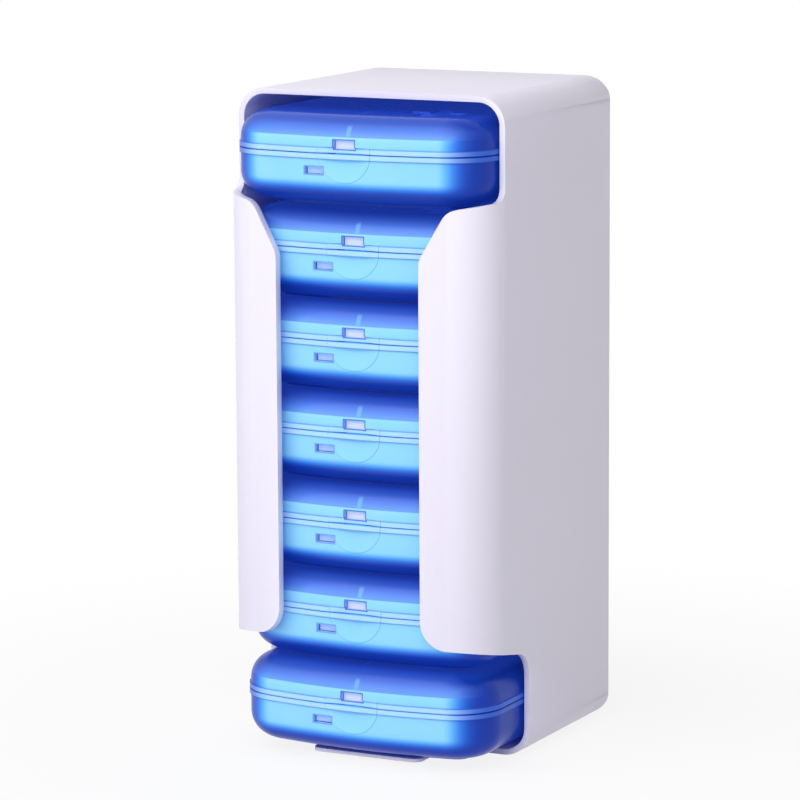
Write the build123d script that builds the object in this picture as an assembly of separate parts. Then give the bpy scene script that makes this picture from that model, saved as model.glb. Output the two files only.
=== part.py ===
from build123d import *
import math
import os
from collections import namedtuple

# Weekly pill organizer: a white tower with two front wings holds a stack of seven
# hinged day boxes of clear blue plastic. A box is loaded at the open top, the stack
# slides down behind the wings, and the bottom box is drawn out over the floor tongue.
# Millimetres, +Z up, -Y is the front. The origin is at the middle of the footprint,
# on the surface that the tower stands on.

# Tower shell
tower_width = 87.0
tower_depth = 92.4          # from the bowed front's foremost line to the back
tower_bow = 175.0           # plan radius of the bowed front
tower_corner = 14.5         # plan radius where the front turns into a side
tower_back_corner = 1.2
tower_edge = 8.5            # radius of the long edges along the top and the bottom
wall = 1.7                  # side walls, top and floor
wing_thickness = 2.8
top_headroom = 5.7          # above the stack of boxes, to lift the top box in

# Openings of the shell
slot_width = 46.5           # between the two wings
wing_chamfer_width = 8.4    # slanted upper inner corner of a wing
wing_chamfer_height = 14.6
wing_chamfer_round = 6.0
wing_foot_round = 8.0       # lower inner corner of a wing
wing_foot_turn = 0.2        # greatest share of the tower's corner that this round may reach into
wing_top_slope = 9.0        # degrees, the wing's upper edge rises towards the side
wing_top_round = 4.0        # hollow corner between a wing's upper edge and the rim
wing_clearance = 0.4        # between a wing's upper edge and the top box
wing_bottom_rise = 8.9      # the wings' lower edge, above the underside of box 2
wing_bottom_slope = 10.6    # degrees, the lower edge falls towards the back
bottom_setback = 33.6       # of the bottom opening's rim from the foremost line
bottom_rim_round = 8.0
tongue_width = 35.8         # floor tongue under the bottom box
tongue_reach = 22.6
tongue_round = 3.0
tongue_thickness = 1.0

# Back panel, seated in a rebate of the shell
back_thickness = 1.6
rebate_depth = 0.8
rebate_clearance = 0.15

# Rubber pads, two under the tongue and two under the floor
pad_height = 0.8            # of the rear pads, the front ones reach up to the tongue
pad_radius = 4.0
pad_front_x = 8.0
pad_front_reach = 4.0       # front pads' centres in front of the bottom opening's rim
pad_rear_x = 28.0
pad_rear_inset = 9.0        # rear pads' centres in front of the back panel

# Day boxes
box_count = 7
box_height = 26.7           # closed, with its foot
box_bow = 170.0
box_corner = 14.5
box_rear_corner = 10.0
smallest_corner = 1.5       # of the plan shapes drawn inside a box's outline
box_edge = 8.0              # round edges at the lid's top and the base's bottom
box_wall = 1.4
box_side_gap = 0.5          # between a box's bead and the tower's side wall
box_front_gap = 2.4         # between a box's bead and the wings
box_rear_gap = 0.5          # between a box's hinge and the back panel
seat_gap = 0.3              # a piece and what it rests on
lid_height = 10.6
parting_gap = 0.3
bead_height = 1.5           # raised bead along each side of the parting line
bead_proud = 0.4
foot_height = 1.0
foot_inset = 10.0
foot_width = 2.5
top_box_out = 5.3           # the top box stands this far forward of the stack
top_box_lift = 1.6          # and this far up, on the wings' upper edges
bottom_box_out = 2.9

# Opening scoop, catches and their windows
scoop_radius = 8.6
scoop_depth = 0.8
lens_height = 1.9           # of the scoop's edge above the parting line
window_width = 6.8
window_height = 2.6
window_rise = 1.2           # window's lower edge above the lid's lower edge
side_window_x = -9.9
side_window_width = 6.2
side_window_height = 2.2
side_window_drop = 5.1      # window's middle below the parting line
catch_clearance = 0.3       # between a catch tongue and the wall that it stands behind
hanging_catch_clearance = 0.5
catch_thickness = 1.0
catch_root = 4.0            # length of a catch's root on its own wall

# Sunk plus on the lid, front right
plus_x = 19.5
plus_y = 20.5               # behind the front of the box
plus_size = 18.0
plus_arm = 6.2
plus_depth = 0.4

# Hinge at the rear of a box
pin_radius = 0.8
pin_fit = 0.05              # radial running clearance
knuckle_radius = 2.3
knuckle_gap = 0.3
hinge_gap = 0.4             # between a knuckle and the bead of the other half
inner_knuckle_x = 8.0
inner_knuckle_length = 5.0
lid_knuckle_length = 8.4
outer_knuckle_length = 5.0

# Cross divider
divider_thickness = 1.0
divider_clearance = 0.3
divider_lid_clearance = 0.9

# Places worked out from the sizes above
floor_top = pad_height + wall
pitch = box_height + seat_gap
tower_height = 2 * wall + box_count * pitch + top_headroom
tower_top = pad_height + tower_height
box_half_width = tower_width / 2 - wall - box_side_gap - bead_proud
base_height = box_height - foot_height - lid_height - parting_gap
hinge_offset = knuckle_radius + bead_proud + hinge_gap
tower_front = -(bead_proud + box_front_gap + wing_thickness)
tower_back = tower_front + tower_depth
hinge_y = tower_back - back_thickness - box_rear_gap - knuckle_radius
box_depth = hinge_y - hinge_offset      # without the hinge
far = 2 * tower_height      # reach of a cutter well past the shell

# A plan shape: a bowed front, round front corners, straight sides and a flat back.
Plan = namedtuple("Plan", "half_width front back bow corner back_corner")
tower_plan = Plan(
    tower_width / 2, tower_front, tower_back, tower_bow, tower_corner, tower_back_corner
)
cavity_plan = Plan(
    tower_width / 2 - wall,
    tower_front + wing_thickness,
    tower_back + wall,
    tower_bow - wing_thickness,
    tower_corner - wall,
    tower_back_corner,
)
box_plan = Plan(box_half_width, 0.0, box_depth, box_bow, box_corner, box_rear_corner)


def corner_centre(plan):
    """Centre of the right front corner's arc, which touches the bow and the side."""
    x = plan.half_width - plan.corner
    drop = math.sqrt((plan.bow - plan.corner) ** 2 - x**2)
    return Vector(x, plan.front + plan.bow - drop, 0)


def inset(plan, amount):
    """The same plan drawn inwards by amount, or outwards where it is negative."""
    return Plan(
        plan.half_width - amount,
        plan.front + amount,
        plan.back - amount,
        plan.bow - amount,
        max(plan.corner - amount, smallest_corner),
        max(plan.back_corner - amount, smallest_corner),
    )


def plan_face(plan):
    """Face of a plan shape in the XY plane."""
    centre = corner_centre(plan)
    bow_centre = Vector(0, plan.front + plan.bow, 0)
    outward = (centre - bow_centre).normalized()
    touch = bow_centre + outward * plan.bow
    middle = centre + (outward + Vector(1, 0, 0)).normalized() * plan.corner
    side = Vector(plan.half_width, centre.Y, 0)
    rear_side = Vector(plan.half_width, plan.back - plan.back_corner, 0)
    rear_centre = Vector(plan.half_width - plan.back_corner, rear_side.Y, 0)
    diagonal = plan.back_corner / math.sqrt(2)
    rear_middle = rear_centre + Vector(diagonal, diagonal, 0)
    rear = Vector(rear_centre.X, plan.back, 0)

    def left(point):
        return Vector(-point.X, point.Y, 0)

    edges = [
        ThreePointArc(left(touch), (0, plan.front), touch),
        ThreePointArc(touch, middle, side),
        Line(side, rear_side),
        ThreePointArc(rear_side, rear_middle, rear),
        Line(rear, left(rear)),
        ThreePointArc(left(rear), left(rear_middle), left(rear_side)),
        Line(left(rear_side), left(side)),
        ThreePointArc(left(side), left(middle), left(touch)),
    ]
    return make_face(edges)


def block(x, y, z):
    """Box between two limits along each axis."""
    return Pos((x[0] + x[1]) / 2, (y[0] + y[1]) / 2, (z[0] + z[1]) / 2) * Box(
        x[1] - x[0], y[1] - y[0], z[1] - z[0]
    )


def front_prism(face, y_from, y_to):
    """A face drawn in the front view, with X across and Z up, carried along Y."""
    plane = Plane(origin=(0, y_to, 0), x_dir=(1, 0, 0), z_dir=(0, -1, 0))
    return extrude(plane * face, amount=y_to - y_from)


def side_prism(face, half_width):
    """A face drawn in the side view, with Y across and Z up, carried along X."""
    plane = Plane(origin=(-half_width, 0, 0), x_dir=(0, 1, 0), z_dir=(1, 0, 0))
    return extrude(plane * face, amount=2 * half_width)


def rod(radius, x_from, x_to, y, z):
    """Round rod along X."""
    return Pos((x_from + x_to) / 2, y, z) * Rot(0, 90, 0) * Cylinder(radius, x_to - x_from)


def mirrored(shape):
    """A shape and its mirror image across the middle plane."""
    return [shape, mirror(shape, about=Plane.YZ)]


# Box places: the underside of box k's foot, and how far forward it stands at rest.
def box_bottom(k):
    lift = top_box_lift if k == box_count else 0
    return floor_top + seat_gap + (k - 1) * pitch + lift


def box_forward(k):
    return {1: bottom_box_out, box_count: top_box_out}.get(k, 0)


# The whole model is moved so that its bounding box is centred on the origin.
slot_edge_front = tower_front + tower_bow - math.sqrt(tower_bow**2 - (slot_width / 2) ** 2)
front_limit = min(slot_edge_front, -top_box_out - bead_proud)
centring = Pos(0, -(front_limit + tower_back) / 2, 0)


# Tower
def wing_outline(wing_top):
    """Right wing in the front view, drawn past the side wall and below the wing."""
    inner = slot_width / 2
    upper = inner + wing_chamfer_width
    reach = far - upper
    points = [
        (inner, -far),
        (inner, wing_top - wing_chamfer_height),
        (upper, wing_top),
        (far, wing_top + reach * math.tan(math.radians(wing_top_slope))),
        (far, -far),
    ]
    outline = Polyline(*points, close=True)
    face = make_face(outline)
    bends = [v for v in face.vertices() if abs(v.Z) < 1 and -far < v.Y and abs(v.X) < upper + 1]
    return fillet(bends, wing_chamfer_round)


def front_cut(wing_top, rim_y):
    """All that is open in front of the rims: the top opening and the slot."""
    upper = wing_top - wing_chamfer_height - wing_chamfer_round
    opening = block((-far, far), (-far, rim_y), (floor_top, far))
    wings = mirrored(front_prism(wing_outline(wing_top), -far - 1, rim_y + 1))
    opening = opening - wings[0] - wings[1]
    hollow = [
        edge
        for edge in opening.edges()
        if abs(edge.center().Y - rim_y) < 0.01
        and edge.center().Z > upper
        and tower_width / 2 - wing_thickness < abs(edge.center().X) < far - 1
    ]
    return fillet(hollow, wing_top_round)


def bottom_cut():
    """The bottom opening, which reaches further back, round the floor tongue."""
    rim_y = tower_front + bottom_setback
    wing_bottom = floor_top + seat_gap + pitch + wing_bottom_rise
    fall = math.tan(math.radians(wing_bottom_slope))
    points = [
        (tower_front - far, wing_bottom + far * fall),
        (rim_y, wing_bottom - bottom_setback * fall),
        (rim_y, -far),
        (tower_front - far, -far),
    ]
    face = make_face(Polyline(*points, close=True))
    corner = face.vertices().sort_by(Axis.X)[-2:].sort_by(Axis.Y)[-1]
    opening = side_prism(fillet(corner, bottom_rim_round), far)
    tongue_front = rim_y - tongue_reach
    tongue = block(
        (-tongue_width / 2, tongue_width / 2),
        (tongue_front, rim_y + wall),
        (floor_top - tongue_thickness, floor_top),
    )
    tongue = fillet(tongue.edges().filter_by(Axis.Z).group_by(Axis.Y)[0], tongue_round)
    return opening - tongue


def shell_body(plan, z_from, z_to, edge_radius):
    """Plan shape carried up, with its long edges along Y rounded."""
    column = Pos(0, 0, z_from) * extrude(plan_face(plan), amount=z_to - z_from)
    front_view = Pos(0, (z_from + z_to) / 2) * RectangleRounded(
        2 * plan.half_width, z_to - z_from, edge_radius
    )
    return column & front_prism(front_view, -far, far)


def make_tower_shell():
    rim_y = corner_centre(tower_plan).Y
    wing_top = box_bottom(box_count) + foot_height - wing_clearance
    outer = shell_body(tower_plan, pad_height, tower_top, tower_edge)
    cavity = shell_body(cavity_plan, floor_top, tower_top - wall, tower_edge - wall)
    rebate_view = Pos(0, (pad_height + tower_top) / 2) * RectangleRounded(
        tower_width - 2 * (wall - rebate_depth),
        tower_height - 2 * (wall - rebate_depth),
        tower_edge - wall + rebate_depth,
    )
    rebate = front_prism(rebate_view, tower_back - back_thickness, tower_back + wall)
    shell = outer - cavity - rebate
    shell = shell - front_cut(wing_top, rim_y) - bottom_cut()
    wing_feet = [
        edge
        for edge in shell.edges()
        if abs(abs(edge.center().X) - slot_width / 2) < 0.01
        and edge.length < 2 * wing_thickness
        and edge.center().Z < tower_top / 2
    ]
    wing_flat = (tower_width - slot_width) / 2 - tower_corner
    return fillet(wing_feet, min(wing_foot_round, wing_flat + wing_foot_turn * tower_corner))


def make_back_panel():
    margin = wall - rebate_depth + rebate_clearance
    view = Pos(0, (pad_height + tower_top) / 2) * RectangleRounded(
        tower_width - 2 * margin, tower_height - 2 * margin, tower_edge - margin
    )
    return front_prism(view, tower_back - back_thickness, tower_back)


def make_rubber_feet():
    front_y = tower_front + bottom_setback - pad_front_reach
    rear_y = tower_back - back_thickness - pad_rear_inset
    front_height = floor_top - tongue_thickness
    pads = []
    for x, y, height in ((pad_front_x, front_y, front_height), (pad_rear_x, rear_y, pad_height)):
        for side in (-1, 1):
            pads.append(Pos(side * x, y, height / 2) * Cylinder(pad_radius, height))
    return pads


# Day box, drawn with the underside of its foot at z = 0 and its front at y = 0
base_top = foot_height + base_height
parting = base_top + parting_gap / 2
lid_bottom = base_top + parting_gap
inner_plan = inset(box_plan, box_wall)
knuckle_start = inner_knuckle_x + inner_knuckle_length + knuckle_gap
outer_knuckle_x = knuckle_start + lid_knuckle_length + knuckle_gap
pin_end = outer_knuckle_x + outer_knuckle_length


def rounded_bottom(plan, z_from, z_to, radius):
    """Plan shape carried up, with its bottom edge rounded."""
    solid = Pos(0, 0, z_from) * extrude(plan_face(plan), amount=z_to - z_from)
    return fillet(solid.edges().group_by(Axis.Z)[0], radius)


def rounded_top(plan, z_from, z_to, radius):
    """Plan shape carried up, with its top edge rounded."""
    solid = Pos(0, 0, z_from) * extrude(plan_face(plan), amount=z_to - z_from)
    return fillet(solid.edges().group_by(Axis.Z)[-1], radius)


def plate(plan, z_from, z_to):
    return Pos(0, 0, z_from) * extrude(plan_face(plan), amount=z_to - z_from)


def scoop_ball():
    """Ball that leaves a round dish in the front, centred on the parting line."""
    radius = (scoop_radius**2 + scoop_depth**2) / (2 * scoop_depth)
    return Pos(0, scoop_depth - radius, parting) * Sphere(radius)


def bow_sag(x):
    """How far the bowed inner face of a box's front lies behind its foremost line."""
    return inner_plan.bow - math.sqrt(inner_plan.bow**2 - x**2)


# The hanging catch clears the bowed wall at its outer corner.
hanging_catch_reach = abs(side_window_x) + side_window_width / 2
hanging_catch_front = box_wall + bow_sag(hanging_catch_reach) + hanging_catch_clearance


def front_hole(x, z_middle, width, height):
    return block(
        (x - width / 2, x + width / 2),
        (-bead_proud - 1, box_wall + 1),
        (z_middle - height / 2, z_middle + height / 2),
    )


def base_cavity(clearance):
    plan = inset(inner_plan, clearance)
    bottom = foot_height + box_wall + clearance
    return rounded_bottom(plan, bottom, box_height, box_edge - box_wall - clearance)


def lid_cavity(clearance):
    plan = inset(inner_plan, clearance)
    top = box_height - box_wall - clearance
    return rounded_top(plan, 0, top, box_edge - box_wall - clearance)


def make_base():
    body = rounded_bottom(box_plan, foot_height, base_top, box_edge)
    body += plate(inset(box_plan, -bead_proud), base_top - bead_height, base_top)
    body -= base_cavity(0)
    foot = plate(inset(box_plan, foot_inset), 0, foot_height + box_wall / 2)
    foot -= plate(inset(box_plan, foot_inset + foot_width), 0, foot_height)
    body += foot
    # dish and side window
    dish = scoop_ball() & block((-far, far), (-far, far), (0, base_top - bead_height))
    body -= dish
    body -= front_hole(
        side_window_x, parting - side_window_drop, side_window_width, side_window_height
    )
    # catch tongue that stands up behind the lid's window
    half = window_width / 2
    front = box_wall + bow_sag(half) + catch_clearance
    back = front + catch_thickness
    root = block((-half, half), (box_wall / 2, back), (base_top - catch_root, base_top))
    tongue = block(
        (-half, half),
        (front, back),
        (base_top - catch_root, lid_bottom + window_rise + window_height),
    )
    body += root
    body += tongue
    # knuckles below the parting line
    for start, length in (
        (inner_knuckle_x, inner_knuckle_length),
        (outer_knuckle_x, outer_knuckle_length),
    ):
        knuckle = rod(knuckle_radius, start, start + length, hinge_y, parting)
        knuckle += block(
            (start, start + length),
            (box_depth - box_wall / 2, hinge_y),
            (parting - knuckle_radius, base_top),
        )
        for side in mirrored(knuckle):
            body += side
    bore = rod(pin_radius + pin_fit, inner_knuckle_x - 1, pin_end + 1, hinge_y, parting)
    for side in mirrored(bore):
        body -= side
    return body


def make_lid():
    body = rounded_top(box_plan, lid_bottom, box_height, box_edge)
    body += plate(inset(box_plan, -bead_proud), lid_bottom, lid_bottom + bead_height)
    body -= lid_cavity(0)
    # edge of the scoop and the catch window
    lens_top = parting + lens_height
    body -= scoop_ball() & block((-far, far), (-far, far), (0, lens_top))
    middle = lid_bottom + window_rise + window_height / 2
    body -= front_hole(0, middle, window_width, window_height)
    # catch tongue that hangs behind the base's window
    half = side_window_width / 2
    front = hanging_catch_front
    x_limits = (side_window_x - half, side_window_x + half)
    tongue_bottom = parting - side_window_drop - side_window_height / 2
    root = block(
        x_limits, (box_wall / 2, front + catch_thickness), (lid_bottom, lid_bottom + catch_root)
    )
    tongue = block(
        x_limits, (front, front + catch_thickness), (tongue_bottom, lid_bottom + catch_root)
    )
    body += root
    body += tongue
    # sunk plus
    for size in ((plus_size, plus_arm), (plus_arm, plus_size)):
        arm = block(
            (plus_x - size[0] / 2, plus_x + size[0] / 2),
            (plus_y - size[1] / 2, plus_y + size[1] / 2),
            (box_height - plus_depth, box_height + 1),
        )
        body -= arm
    # knuckles above the parting line
    end = knuckle_start + lid_knuckle_length
    knuckle = rod(knuckle_radius, knuckle_start, end, hinge_y, parting)
    knuckle += block(
        (knuckle_start, end),
        (box_depth - box_wall / 2, hinge_y),
        (lid_bottom, parting + knuckle_radius),
    )
    bore = rod(pin_radius + pin_fit, knuckle_start - 1, end + 1, hinge_y, parting)
    for side in mirrored(knuckle - bore):
        body += side
    return body


def make_divider():
    """Cross of two slotted plates, moulded as one, that makes four compartments."""
    half = divider_thickness / 2
    middle = box_depth / 2
    cross = block((-half, half), (0, box_depth), (0, box_height))
    cross += block((-box_half_width, box_half_width), (middle - half, middle + half), (0, box_height))
    catch_back = hanging_catch_front + catch_thickness + divider_clearance
    cross -= block((-box_half_width, box_half_width), (-1, catch_back), (0, box_height))
    return cross & base_cavity(divider_clearance) & lid_cavity(divider_lid_clearance)


def make_hinge_pins():
    pin = rod(pin_radius, inner_knuckle_x, pin_end, hinge_y, parting)
    return mirrored(pin)


# One STEP file for each named piece
os.makedirs("parts", exist_ok=True)


def place(shape, location):
    """Move a solid, or a group of separate solids, to its place in the model."""
    if isinstance(shape, list):
        return Compound(children=[location * solid for solid in shape])
    return location * shape


export_step(place(make_tower_shell(), centring), "parts/tower_shell.step")
export_step(place(make_back_panel(), centring), "parts/back_panel.step")
export_step(place(make_rubber_feet(), centring), "parts/rubber_feet.step")

box_pieces = {
    "base": make_base(),
    "lid": make_lid(),
    "divider": make_divider(),
    "hinge_pins": make_hinge_pins(),
}
for k in range(1, box_count + 1):
    spot = centring * Pos(0, -box_forward(k), box_bottom(k))
    for name, shape in box_pieces.items():
        export_step(place(shape, spot), f"parts/box_{k}_{name}.step")
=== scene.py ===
import math
from collections import namedtuple

import bmesh
import bpy
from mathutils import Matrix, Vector


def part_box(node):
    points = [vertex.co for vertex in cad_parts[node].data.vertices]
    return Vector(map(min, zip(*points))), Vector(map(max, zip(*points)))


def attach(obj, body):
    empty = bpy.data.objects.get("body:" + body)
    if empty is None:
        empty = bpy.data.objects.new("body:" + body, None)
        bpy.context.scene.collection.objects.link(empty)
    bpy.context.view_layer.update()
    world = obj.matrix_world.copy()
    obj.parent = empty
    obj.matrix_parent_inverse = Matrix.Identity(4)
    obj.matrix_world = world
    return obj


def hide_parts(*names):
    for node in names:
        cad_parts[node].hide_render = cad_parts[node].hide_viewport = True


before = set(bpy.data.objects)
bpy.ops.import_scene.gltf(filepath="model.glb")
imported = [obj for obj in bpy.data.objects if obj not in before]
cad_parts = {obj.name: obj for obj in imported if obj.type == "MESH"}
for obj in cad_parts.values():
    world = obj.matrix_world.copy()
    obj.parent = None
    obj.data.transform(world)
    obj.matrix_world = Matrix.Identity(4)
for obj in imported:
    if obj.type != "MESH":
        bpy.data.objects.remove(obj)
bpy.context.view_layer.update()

MM = 0.001
BOX_COUNT = 7

# Camera, in the frame's axes: azimuth from the front towards +X, elevation above level.
# The lens and the sensor are in mm, the other lengths in metres.
CAMERA_AZIMUTH = math.radians(26.78)
CAMERA_ELEVATION = math.radians(9.50)
CAMERA_ROLL = -0.0056
CAMERA_DISTANCE = 1.232
CAMERA_TARGET = Vector((0.0, -0.01055, 0.1053))
CAMERA_CLIP = (0.05, 20.0)
CAMERA_LENS = 185.8
SENSOR_WIDTH = 36.0


def make_camera():
    """Camera at the photograph's angle, aimed at the middle of the tower."""
    direction = Vector(
        (
            math.sin(CAMERA_AZIMUTH) * math.cos(CAMERA_ELEVATION),
            -math.cos(CAMERA_AZIMUTH) * math.cos(CAMERA_ELEVATION),
            math.sin(CAMERA_ELEVATION),
        )
    )
    data = bpy.data.cameras.new("camera")
    data.lens = CAMERA_LENS
    data.sensor_width = SENSOR_WIDTH
    data.clip_start, data.clip_end = CAMERA_CLIP
    camera = bpy.data.objects.new("camera", data)
    bpy.context.scene.collection.objects.link(camera)
    camera.location = CAMERA_TARGET + direction * CAMERA_DISTANCE
    facing = (-direction).to_track_quat("-Z", "Y").to_euler()
    facing.rotate_axis("Z", CAMERA_ROLL)
    camera.rotation_euler = facing
    bpy.context.scene.camera = camera


def linear(red, green, blue):
    """A colour written as it looks on screen, turned into linear light by the sRGB curve."""

    def channel(value):
        value /= 255.0
        if value <= 0.04045:
            return value / 12.92
        return ((value + 0.055) / 1.055) ** 2.4

    return (channel(red), channel(green), channel(blue), 1.0)


class Nodes:
    """Short calls that build the node tree of one material or world."""

    def __init__(self, owner):
        owner.use_nodes = True
        self.owner = owner
        self.tree = owner.node_tree
        self.shader = self.tree.nodes.get("Principled BSDF")
        self.output = next(node for node in self.tree.nodes if node.type.startswith("OUTPUT"))

    def new(self, kind, **settings):
        node = self.tree.nodes.new(kind)
        for key, value in settings.items():
            setattr(node, key, value)
        return node

    def link(self, source, target):
        self.tree.links.new(source, target)

    def put(self, value, socket):
        """Link a socket, or write a plain number or colour."""
        if isinstance(value, bpy.types.NodeSocket):
            self.link(value, socket)
        else:
            socket.default_value = value

    def set(self, **values):
        """Put values on the shader's sockets, with _ for the spaces in their names."""
        for name, value in values.items():
            self.put(value, self.shader.inputs[name.replace("_", " ")])

    def place(self):
        """Coordinates in the object's own axes, in metres."""
        return self.new("ShaderNodeTexCoord").outputs["Object"]

    def math(self, operation, first, second=0.0, clamp=False):
        node = self.new("ShaderNodeMath", operation=operation, use_clamp=clamp)
        self.put(first, node.inputs[0])
        self.put(second, node.inputs[1])
        return node.outputs[0]

    def times(self, *factors):
        product = factors[0]
        for factor in factors[1:]:
            product = self.math("MULTIPLY", product, factor)
        return product

    def opposite(self, value):
        return self.math("SUBTRACT", 1.0, value, clamp=True)

    def away(self, value, middle):
        """Distance from middle."""
        return self.math("ABSOLUTE", self.math("SUBTRACT", value, middle))

    def spread(self, share, low, high):
        """low where share is 0 and high where it is 1."""
        span = self.math("MULTIPLY", share, high - low)
        return self.math("ADD", span, low)

    def mix(self, factor, first, second):
        node = self.new("ShaderNodeMix", data_type="RGBA")
        factor_socket, first_colour, second_colour, mixed_colour = 0, 6, 7, 2
        self.put(factor, node.inputs[factor_socket])
        self.put(first, node.inputs[first_colour])
        self.put(second, node.inputs[second_colour])
        return node.outputs[mixed_colour]

    def paint(self, colour, mask, mark):
        """Lay a mark over a colour, where the mask isn't 0."""
        return self.mix(self.times(mask, mark.strength), colour, mark.colour)

    def step(self, value, low, high, start=0.0, end=1.0):
        """start below low, end above high and a smooth change between them."""
        node = self.new("ShaderNodeMapRange", interpolation_type="SMOOTHSTEP")
        for socket, setting in zip(node.inputs, (value, low, high, start, end)):
            self.put(setting, socket)
        return node.outputs[0]

    def band(self, value, low, high, soft):
        """1 between low and high, with soft edges, and 0 elsewhere."""
        rise = self.step(value, low - soft, low + soft)
        fall = self.step(value, high - soft, high + soft)
        return self.times(rise, self.opposite(fall))

    def ramp(self, value, stops):
        node = self.new("ShaderNodeValToRGB")
        node.color_ramp.interpolation = "B_SPLINE"
        elements = node.color_ramp.elements
        elements[0].position, elements[0].color = stops[0]
        elements[1].position, elements[1].color = stops[-1]
        for position, colour in stops[1:-1]:
            elements.new(position).color = colour
        self.put(value, node.inputs[0])
        return node.outputs[0]

    def noise(self, where, scale, detail=2.0):
        """Cloudy noise with scale waves in a metre."""
        node = self.new("ShaderNodeTexNoise")
        node.inputs["Scale"].default_value = scale
        node.inputs["Detail"].default_value = detail
        self.link(where, node.inputs["Vector"])
        return node.outputs[0]

    def bump(self, height, strength, distance, normal=None):
        node = self.new("ShaderNodeBump")
        node.inputs["Strength"].default_value = strength
        node.inputs["Distance"].default_value = distance
        self.link(height, node.inputs["Height"])
        if normal is not None:
            self.link(normal, node.inputs["Normal"])
        self.link(node.outputs[0], self.shader.inputs["Normal"])

    def blend(self, share, first, second):
        """Mix of two shaders, sent to the output."""
        node = self.new("ShaderNodeMixShader")
        self.put(share, node.inputs[0])
        self.link(first, node.inputs[1])
        self.link(second, node.inputs[2])
        self.link(node.outputs[0], self.output.inputs["Surface"])


def new_material(name):
    return Nodes(bpy.data.materials.new(name))


def white_plastic():
    """Satin white moulding: a faint cool tint, fine texture and uneven gloss."""
    n = new_material("white_plastic")
    where = n.place()
    cloud = n.noise(where, scale=18.0, detail=3.0)
    gloss = n.noise(where, scale=160.0)
    scatter_depth = 2.0 * MM
    n.set(
        Base_Color=n.mix(cloud, linear(236, 232, 244), linear(241, 237, 249)),
        Roughness=n.spread(gloss, 0.30, 0.40),
        IOR=1.5,
        Subsurface_Weight=0.08,
        Subsurface_Radius=(scatter_depth, scatter_depth, scatter_depth),
        Subsurface_Scale=1.0,
    )
    n.bump(n.noise(where, scale=2600.0), strength=0.10, distance=0.04 * MM)
    return n.owner


def rubber():
    """Matt grey rubber with a fine grain."""
    n = new_material("grey_rubber")
    where = n.place()
    grain = n.noise(where, scale=900.0, detail=3.0)
    n.set(Base_Color=n.mix(grain, linear(92, 92, 96), linear(112, 112, 116)), Roughness=0.8)
    n.bump(n.noise(where, scale=3000.0), strength=0.3, distance=0.1 * MM)
    return n.owner


def pin_steel():
    """Drawn steel wire, with fine lines along its length."""
    n = new_material("pin_steel")
    stretch = n.new("ShaderNodeMapping")
    lines_along, lines_across = 30.0, 4000.0
    stretch.inputs["Scale"].default_value = (lines_along, lines_across, lines_across)
    n.link(n.place(), stretch.inputs["Vector"])
    lines = n.noise(stretch.outputs[0], scale=1.0)
    n.set(
        Base_Color=n.mix(lines, linear(172, 174, 178), linear(205, 206, 209)),
        Metallic=1.0,
        Roughness=n.spread(lines, 0.0, 0.5),
    )
    return n.owner


# Places on a day box, in mm: heights above the underside of its foot, distances from its
# middle plane and depths behind the foremost line of its wall. Pairs are from and to.
BASE_TOP = 15.8
LID_BOTTOM = 16.1
PARTING = (BASE_TOP + LID_BOTTOM) / 2
BEAD = 1.5
BEAD_PROUD = 0.4
WALL_THICKNESS = 1.4
BASE_EDGE = (3.2, 8.4)
LID_EDGE = (20.4, 25.5)
CORNER = (28.0, 40.0)
FRONT_DEPTH = (13.0, 17.0)
LID_TOP = (24.5, 26.5)
CATCH_DEPTH = 3.5
CATCH_START = 0.6
SCOOP_RADIUS = 8.6
LENS_TOP = 17.9
Window = namedtuple("Window", "middle height half_width half_height")
LID_WINDOW = Window(0.0, 18.6, 3.4, 1.3)
BASE_WINDOW = Window(-9.9, 10.85, 3.1, 1.1)

# Where the blue plastic shows its marks, most of them painted light and shade, in mm. BEAD_INSET is
# counted inwards from the bead's lower and upper side, GROOVE from the side that meets the wall, and
# SCOOP_LINE from the scoop's radius.
# Painted reflection on the turned top of each lid's front: where it runs and how soft its edges are
TURN_REFLECTION = (20.8, 25.0)
TURN_REFLECTION_SOFT = (0.15, 2.6)
BEAD_INSET = (0.15, 0.10)
# Painted shade in the crease where each bead meets the wall
GROOVE = (-0.15, 0.20)
# Painted shade along the crease round the thumb scoop
SCOOP_LINE = (-0.16, 0.06)
SCOOP_FADE = (-7.0, 7.0)
# Painted shade round each window and painted light on the walls inside it
WINDOW_RIM = 0.35
WINDOW_PLAY = 0.03
RIM_DEPTH = (WALL_THICKNESS + 0.1, WALL_THICKNESS + 0.25)
HOLE_DEPTH = WALL_THICKNESS + 0.6
DIVIDER_END_X = (0.6, 2.0)
DIVIDER_END_HEIGHT = (20.8, 23.8)
DIVIDER_LINE = 0.5
DIVIDER_DEPTH = 39.65
DIVIDER_REACH = (9.0, 74.0)
DIVIDER_TOP = (24.6, 26.4)
PLUS_MIDDLE = (19.5, 20.5)
PLUS_SIZE = 18.0
PLUS_ARM = 6.2

# Painted light and shade on the wall: blues from the deep, shaded turned edges to the light blue, lit
# flat of the front
WALL_SHADE_TO_LIT_BLUES = [
    (0.0, linear(14, 48, 150)),
    (0.30, linear(28, 80, 196)),
    (0.60, linear(60, 146, 242)),
    (0.85, linear(118, 210, 252)),
    (1.0, linear(166, 238, 255)),
]
# Painted highlight on the bead: its blue where the wall is painted in shade and where it is painted
# lit
BEAD_HIGHLIGHT_BLUES = (linear(70, 120, 225), linear(196, 238, 255))
BEAD_HIGHLIGHT_STRENGTH = 0.8
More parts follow.
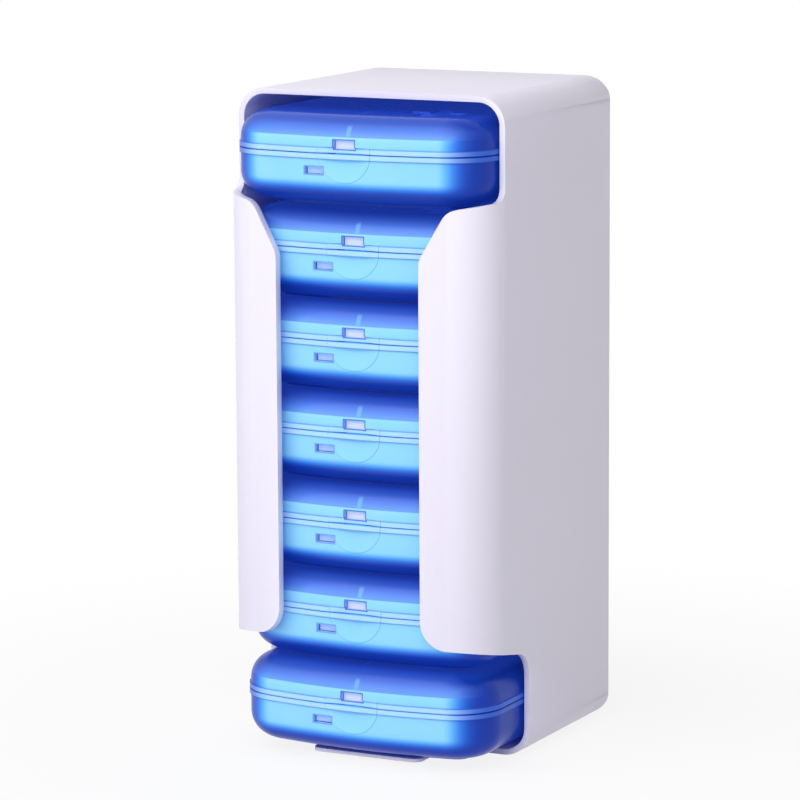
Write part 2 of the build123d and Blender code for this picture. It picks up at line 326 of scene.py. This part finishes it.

# The other marks over the wall's blue: painted reflection, shade and light, and the divider and the
# plus
Mark = namedtuple("Mark", "strength colour")
TURN_REFLECTION_MARK = Mark(0.75, linear(98, 138, 224))
GROOVE_SHADE_MARK = Mark(0.45, linear(48, 112, 214))
SCOOP_SHADE_MARK = Mark(1.0, linear(60, 130, 215))
SCOOP_SHARE = (0.15, 0.50)
LID_RIM_SHADE_MARK = Mark(0.8, linear(30, 70, 190))
BASE_RIM_SHADE_MARK = Mark(0.45, linear(30, 70, 190))
HOLE_LIGHT_MARK = Mark(0.75, linear(176, 206, 250))
# Painted light: the catch behind each window painted whitish, as if lit through it
LID_CATCH_LIT_MARK = Mark(1.0, linear(200, 232, 254))
BASE_CATCH_LIT_MARK = Mark(1.0, linear(228, 234, 254))
DIVIDER_END_MARK = Mark(0.6, linear(130, 205, 253))
DIVIDER_TOP_MARK = Mark(0.3, linear(70, 124, 238))
PLUS_MARK = Mark(0.6, linear(84, 136, 240))

# Painted glow: the blue plastic gives off faint light of its own, though it is no lamp, brighter on
# the lid's top and whitish on the catch; and light that passes the wall
INNER_GLOW = linear(24, 60, 170)
LID_TOP_GLOW = linear(50, 92, 226)
CATCH_GLOW = linear(190, 214, 244)
GLOW_STRENGTH = 0.27
THROUGH_BLUE = linear(70, 150, 255)
THROUGH_SHARE = 0.15

Places = namedtuple("Places", "where x across depth height front")


def box_places(n, box_front, box_low):
    """Where a point lies on its box, in mm. box_front and box_low are the box's front and
    underside in the frame."""
    where = n.place()
    split = n.new("ShaderNodeSeparateXYZ")
    n.link(where, split.inputs[0])
    x, y, z = (n.math("MULTIPLY", axis, 1.0 / MM) for axis in split.outputs)
    depth = n.math("SUBTRACT", y, box_front)
    height = n.math("SUBTRACT", z, box_low)
    front = n.math("LESS_THAN", depth, FRONT_DEPTH[0])
    return Places(where, x, n.math("ABSOLUTE", x), depth, height, front)


def painted_lightness(n, at, lid):
    """Painted light and shade: 1 on the lit flat of the front, 0 on the shaded edges, sides and top,
    with a slight drift.
    """
    flat = n.opposite(n.step(at.height, *LID_EDGE)) if lid else n.step(at.height, *BASE_EDGE)
    corner = n.step(at.across, *CORNER)
    behind = n.step(at.depth, *FRONT_DEPTH)
    lit_share = n.times(flat, n.opposite(corner), n.opposite(behind))
    drift = n.math("SUBTRACT", n.noise(at.where, scale=55.0, detail=1.0), 0.5)
    return n.math("ADD", lit_share, n.times(drift, 0.10), clamp=True)


def painted_turn_reflection(n, at, colour):
    """Painted reflection: a light band where the turned top of a lid's front catches the light of the
    lamp above.
    """
    low, high = TURN_REFLECTION
    low_soft, high_soft = TURN_REFLECTION_SOFT
    start = n.step(at.height, low - low_soft, low + low_soft)
    fade = n.math(
        "ADD",
        n.step(at.height, high - high_soft, high + high_soft),
        n.step(at.across, *CORNER),
    )
    band = n.times(start, at.front, n.opposite(fade))
    return n.paint(colour, band, TURN_REFLECTION_MARK)


def painted_bead_lines(n, at, colour, lit_share, lid):
    """Painted highlight on the bead along the parting line, with a thin line of painted shade where
    it meets the wall.
    """
    low, high = (LID_BOTTOM, LID_BOTTOM + BEAD) if lid else (BASE_TOP - BEAD, BASE_TOP)
    bead = n.band(at.height, low + BEAD_INSET[0], high - BEAD_INSET[1], soft=0.15)
    colour = n.mix(n.times(bead, BEAD_HIGHLIGHT_STRENGTH), colour, n.mix(lit_share, *BEAD_HIGHLIGHT_BLUES))
    foot = high if lid else low
    groove_shade = n.band(at.height, foot + GROOVE[0], foot + GROOVE[1], soft=0.12)
    return n.paint(colour, groove_shade, GROOVE_SHADE_MARK)


def scoop_shade_line(n, at, colour):
    """Painted shade: a fine darker line along the crease round the thumb scoop, stronger towards +X.
    """
    above = n.math("SUBTRACT", at.height, PARTING)
    squares = n.math("ADD", n.times(at.x, at.x), n.times(above, above))
    inner, outer = (SCOOP_RADIUS + edge for edge in SCOOP_LINE)
    shade_ring = n.band(n.math("SQRT", squares), inner, outer, soft=0.08)
    share = n.spread(n.step(at.x, *SCOOP_FADE), *SCOOP_SHARE)
    below_lens_top = n.math("LESS_THAN", at.height, LENS_TOP)
    return n.paint(colour, n.times(shade_ring, at.front, share, below_lens_top), SCOOP_SHADE_MARK)


def window_marks(n, at, colour, window, rim_shade_mark):
    """Painted shade as a dark outline round a window, and painted light on the walls of its opening.
    """
    reach_x = window.half_width + WINDOW_RIM
    reach_z = window.half_height + WINDOW_RIM
    rim_shade = n.times(
        n.band(at.x, window.middle - reach_x, window.middle + reach_x, soft=0.1),
        n.band(at.height, window.height - reach_z, window.height + reach_z, soft=0.1),
        n.opposite(n.step(at.depth, *RIM_DEPTH)),
    )
    colour = n.paint(colour, rim_shade, rim_shade_mark)
    out_x = n.away(at.x, window.middle)
    out_z = n.away(at.height, window.height)
    lit_hole = n.times(
        n.math("LESS_THAN", out_x, window.half_width + WINDOW_PLAY),
        n.math("LESS_THAN", out_z, window.half_height + WINDOW_PLAY),
        n.math("LESS_THAN", at.depth, HOLE_DEPTH),
    )
    return n.paint(colour, lit_hole, HOLE_LIGHT_MARK)


def catch_mask(n, at, lid):
    """1 on the catch tongue that stands past the parting line, behind the front wall."""
    if lid:
        past = n.math("LESS_THAN", at.height, LID_BOTTOM - CATCH_START)
    else:
        past = n.math("GREATER_THAN", at.height, BASE_TOP + CATCH_START)
    return n.times(past, n.math("LESS_THAN", at.depth, CATCH_DEPTH))


def divider_marks(n, at, colour):
    """The divider's front end seen through the lid's front, and its crossed upper edges
    seen through the top."""
    end = n.times(
        n.band(at.x, *DIVIDER_END_X, soft=0.35),
        n.band(at.height, *DIVIDER_END_HEIGHT, soft=0.6),
        at.front,
    )
    colour = n.paint(colour, end, DIVIDER_END_MARK)
    lengthwise = n.opposite(n.step(at.across, 0.0, 2 * DIVIDER_LINE))
    crosswise = n.band(
        at.depth, DIVIDER_DEPTH - DIVIDER_LINE, DIVIDER_DEPTH + DIVIDER_LINE, soft=0.5
    )
    cross = n.times(
        n.math("MAXIMUM", lengthwise, crosswise),
        n.step(at.height, *DIVIDER_TOP),
        n.band(at.depth, *DIVIDER_REACH, soft=3.0),
    )
    return n.paint(colour, cross, DIVIDER_TOP_MARK)


def plus_mark(n, at, colour):
    """The sunk plus, a shade lighter than the top round it."""
    out_x = n.away(at.x, PLUS_MIDDLE[0])
    out_y = n.away(at.depth, PLUS_MIDDLE[1])
    longer = n.math("LESS_THAN", n.math("MAXIMUM", out_x, out_y), PLUS_SIZE / 2)
    shorter = n.math("LESS_THAN", n.math("MINIMUM", out_x, out_y), PLUS_ARM / 2)
    return n.paint(colour, n.times(longer, shorter), PLUS_MARK)


def blue_plastic(name, box_front, box_low, lid):
    """Clear blue plastic of one box, with light and shade painted into its colour: light blue where
    its wall faces the front, deep blue as shade at the turned edges, painted highlights on the beads,
    painted shade round the windows, a whitish catch painted as lit behind each window and a painted
    glow."""
    n = new_material(name)
    at = box_places(n, box_front, box_low)
    lit_share = painted_lightness(n, at, lid)
    # Painted light and shade: the wall's blue runs from shaded deep blue to lit light blue
    colour = n.ramp(lit_share, WALL_SHADE_TO_LIT_BLUES)
    if lid:
        # Painted reflection on the turned top of the lid's front
        colour = painted_turn_reflection(n, at, colour)
    # Painted highlight on the bead and painted shade beside it
    colour = painted_bead_lines(n, at, colour, lit_share, lid)
    # Painted shade round the thumb scoop
    colour = scoop_shade_line(n, at, colour)
    # Painted shade round the window and painted light on the walls inside it
    window, rim_shade_mark = (LID_WINDOW, LID_RIM_SHADE_MARK) if lid else (BASE_WINDOW, BASE_RIM_SHADE_MARK)
    colour = window_marks(n, at, colour, window, rim_shade_mark)
    # Painted light: the catch behind the window painted whitish, as if lit through it
    catch = catch_mask(n, at, lid)
    colour = n.paint(colour, catch, LID_CATCH_LIT_MARK if lid else BASE_CATCH_LIT_MARK)
    # Painted glow, lighting the plastic's shaded parts and the tower's inside
    painted_glow = INNER_GLOW
    if lid:
        colour = divider_marks(n, at, colour)
        colour = plus_mark(n, at, colour)
        painted_glow = n.mix(n.step(at.height, *LID_TOP), INNER_GLOW, LID_TOP_GLOW)

    haze = n.noise(at.where, scale=140.0)
    n.set(
        Base_Color=colour,
        Roughness=n.spread(haze, 0.17, 0.23),
        IOR=1.5,
        Specular_IOR_Level=0.2,
        Emission_Color=n.mix(catch, painted_glow, CATCH_GLOW),
        Emission_Strength=GLOW_STRENGTH,
    )
    soft_edges = n.new("ShaderNodeBevel", samples=4)
    soft_edges.inputs["Radius"].default_value = 0.15 * MM
    grain = n.noise(at.where, scale=1500.0)
    n.bump(grain, strength=0.04, distance=0.04 * MM, normal=soft_edges.outputs[0])
    through = n.new("ShaderNodeBsdfTranslucent")
    n.link(n.mix(0.5, colour, THROUGH_BLUE), through.inputs["Color"])
    n.blend(THROUGH_SHARE, n.shader.outputs[0], through.outputs[0])
    return n.owner


def coat(node, material):
    """Give a CAD node one material."""
    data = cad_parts[node].data
    data.materials.clear()
    data.materials.append(material)


# Edges of the dressed copies
MERGE_DISTANCE = 0.002 * MM
FLAT_ANGLE = math.radians(0.4)
SHARP_ANGLE = math.radians(32)
EDGE_SEGMENTS = 3


def dressed(node, body, material, edge_mm):
    """A copy of a node's shape with softened edges, which stands for the node."""
    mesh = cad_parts[node].data.copy()
    mesh.name = node + "_moulded"
    work = bmesh.new()
    work.from_mesh(mesh)
    bmesh.ops.remove_doubles(work, verts=work.verts, dist=MERGE_DISTANCE)
    bmesh.ops.dissolve_limit(work, angle_limit=FLAT_ANGLE, verts=work.verts, edges=work.edges)
    work.to_mesh(mesh)
    work.free()
    mesh.materials.clear()
    mesh.materials.append(material)
    for polygon in mesh.polygons:
        polygon.use_smooth = True
    piece = bpy.data.objects.new(node + "_moulded", mesh)
    bpy.context.scene.collection.objects.link(piece)
    bevel = piece.modifiers.new("soft_edges", "BEVEL")
    bevel.width = edge_mm * MM
    bevel.segments = EDGE_SEGMENTS
    bevel.limit_method = "ANGLE"
    bevel.angle_limit = SHARP_ANGLE
    bevel.harden_normals = True
    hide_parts(node)
    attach(piece, body)


def dress_parts():
    """Materials for every CAD node, and soft-edged copies of the shell and the panel."""
    white, steel = white_plastic(), pin_steel()
    dressed("tower_shell", "tower", white, edge_mm=0.4)
    dressed("back_panel", "tower", white, edge_mm=0.3)
    coat("rubber_feet", rubber())
    for k in range(1, BOX_COUNT + 1):
        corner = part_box(f"box_{k}_base")[0]
        place = (corner[1] / MM + BEAD_PROUD, corner[2] / MM)
        coat(f"box_{k}_base", blue_plastic(f"blue_base_{k}", *place, lid=False))
        coat(f"box_{k}_lid", blue_plastic(f"blue_lid_{k}", *place, lid=True))
        coat(f"box_{k}_divider", blue_plastic(f"blue_divider_{k}", *place, lid=False))
        coat(f"box_{k}_hinge_pins", steel)


# Floor and surroundings, in metres. What the camera sees of the floor turns from its lit
# surface, which holds the shadow, to plain white with the distance from the middle.
FLOOR_REACH = 3.0
FLOOR_COLOUR = (0.90, 0.90, 0.92, 1.0)
SHADOW_FADE = (0.06, 0.30)
WHITE_SHARE = (0.86, 1.0)
WHITE = (1.0, 1.0, 1.0, 1.0)
SKY_COLOUR = (0.97, 0.96, 1.0, 1.0)
SKY_STRENGTH = 0.26


def seen_directly(n):
    """1 for rays from the camera, in reflections and through clear things."""
    path = n.new("ShaderNodeLightPath")
    seen = n.math("MAXIMUM", path.outputs["Is Camera Ray"], path.outputs["Is Glossy Ray"])
    return n.math("MAXIMUM", seen, path.outputs["Is Transmission Ray"])


def make_floor():
    """White floor that keeps the object's soft shadow near it."""
    mesh = bpy.data.meshes.new("floor")
    corners = [(FLOOR_REACH * x, FLOOR_REACH * y, 0) for x, y in ((-1, -1), (1, -1), (1, 1), (-1, 1))]
    mesh.from_pydata(corners, [], [(0, 1, 2, 3)])
    floor = bpy.data.objects.new("floor", mesh)
    bpy.context.scene.collection.objects.link(floor)
    n = new_material("floor")
    n.set(Base_Color=FLOOR_COLOUR, Roughness=0.9, Specular_IOR_Level=0.1)
    glow = n.new("ShaderNodeEmission")
    glow.inputs["Strength"].default_value = 1.0
    distance = n.new("ShaderNodeVectorMath", operation="LENGTH")
    n.link(n.place(), distance.inputs[0])
    share = n.step(distance.outputs["Value"], *SHADOW_FADE, *WHITE_SHARE)
    n.blend(n.times(seen_directly(n), share), n.shader.outputs[0], glow.outputs[0])
    mesh.materials.append(n.owner)


def make_world():
    """Pale light all round, seen as plain white."""
    world = bpy.data.worlds.new("surroundings")
    bpy.context.scene.world = world
    n = Nodes(world)
    light = n.tree.nodes["Background"]
    light.inputs["Color"].default_value = SKY_COLOUR
    light.inputs["Strength"].default_value = SKY_STRENGTH
    white_back = n.new("ShaderNodeBackground")
    white_back.inputs["Color"].default_value = WHITE
    white_back.inputs["Strength"].default_value = 1.0
    n.blend(seen_directly(n), light.outputs[0], white_back.outputs[0])


# Lamps: place and size in metres, power in watts, all aimed at the middle of the tower
LAMP_AIM = Vector((0.0, 0.0, 0.10))
Lamp = namedtuple("Lamp", "name place width height power colour")
LAMPS = [
    Lamp("front_low", (-0.15, -1.28, 1.02), 2.2, 0.84, 16.5, (1.0, 1.0, 1.0)),
    Lamp("front_high", (-0.10, -0.64, 1.46), 2.2, 0.80, 9.0, (0.88, 0.87, 1.0)),
    Lamp("side_fill", (1.25, -0.95, 0.45), 1.2, 1.0, 1.6, (1.0, 0.96, 0.93)),
]


def make_lamp(lamp):
    data = bpy.data.lights.new(lamp.name, "AREA")
    data.shape = "RECTANGLE"
    data.size = lamp.width
    data.size_y = lamp.height
    data.energy = lamp.power
    data.color = lamp.colour
    body = bpy.data.objects.new(lamp.name, data)
    bpy.context.scene.collection.objects.link(body)
    body.location = lamp.place
    body.rotation_euler = (LAMP_AIM - Vector(lamp.place)).to_track_quat("-Z", "Y").to_euler()


make_camera()
dress_parts()
make_floor()
make_world()
for lamp in LAMPS:
    make_lamp(lamp)
bpy.context.scene.view_settings.view_transform = "Standard"
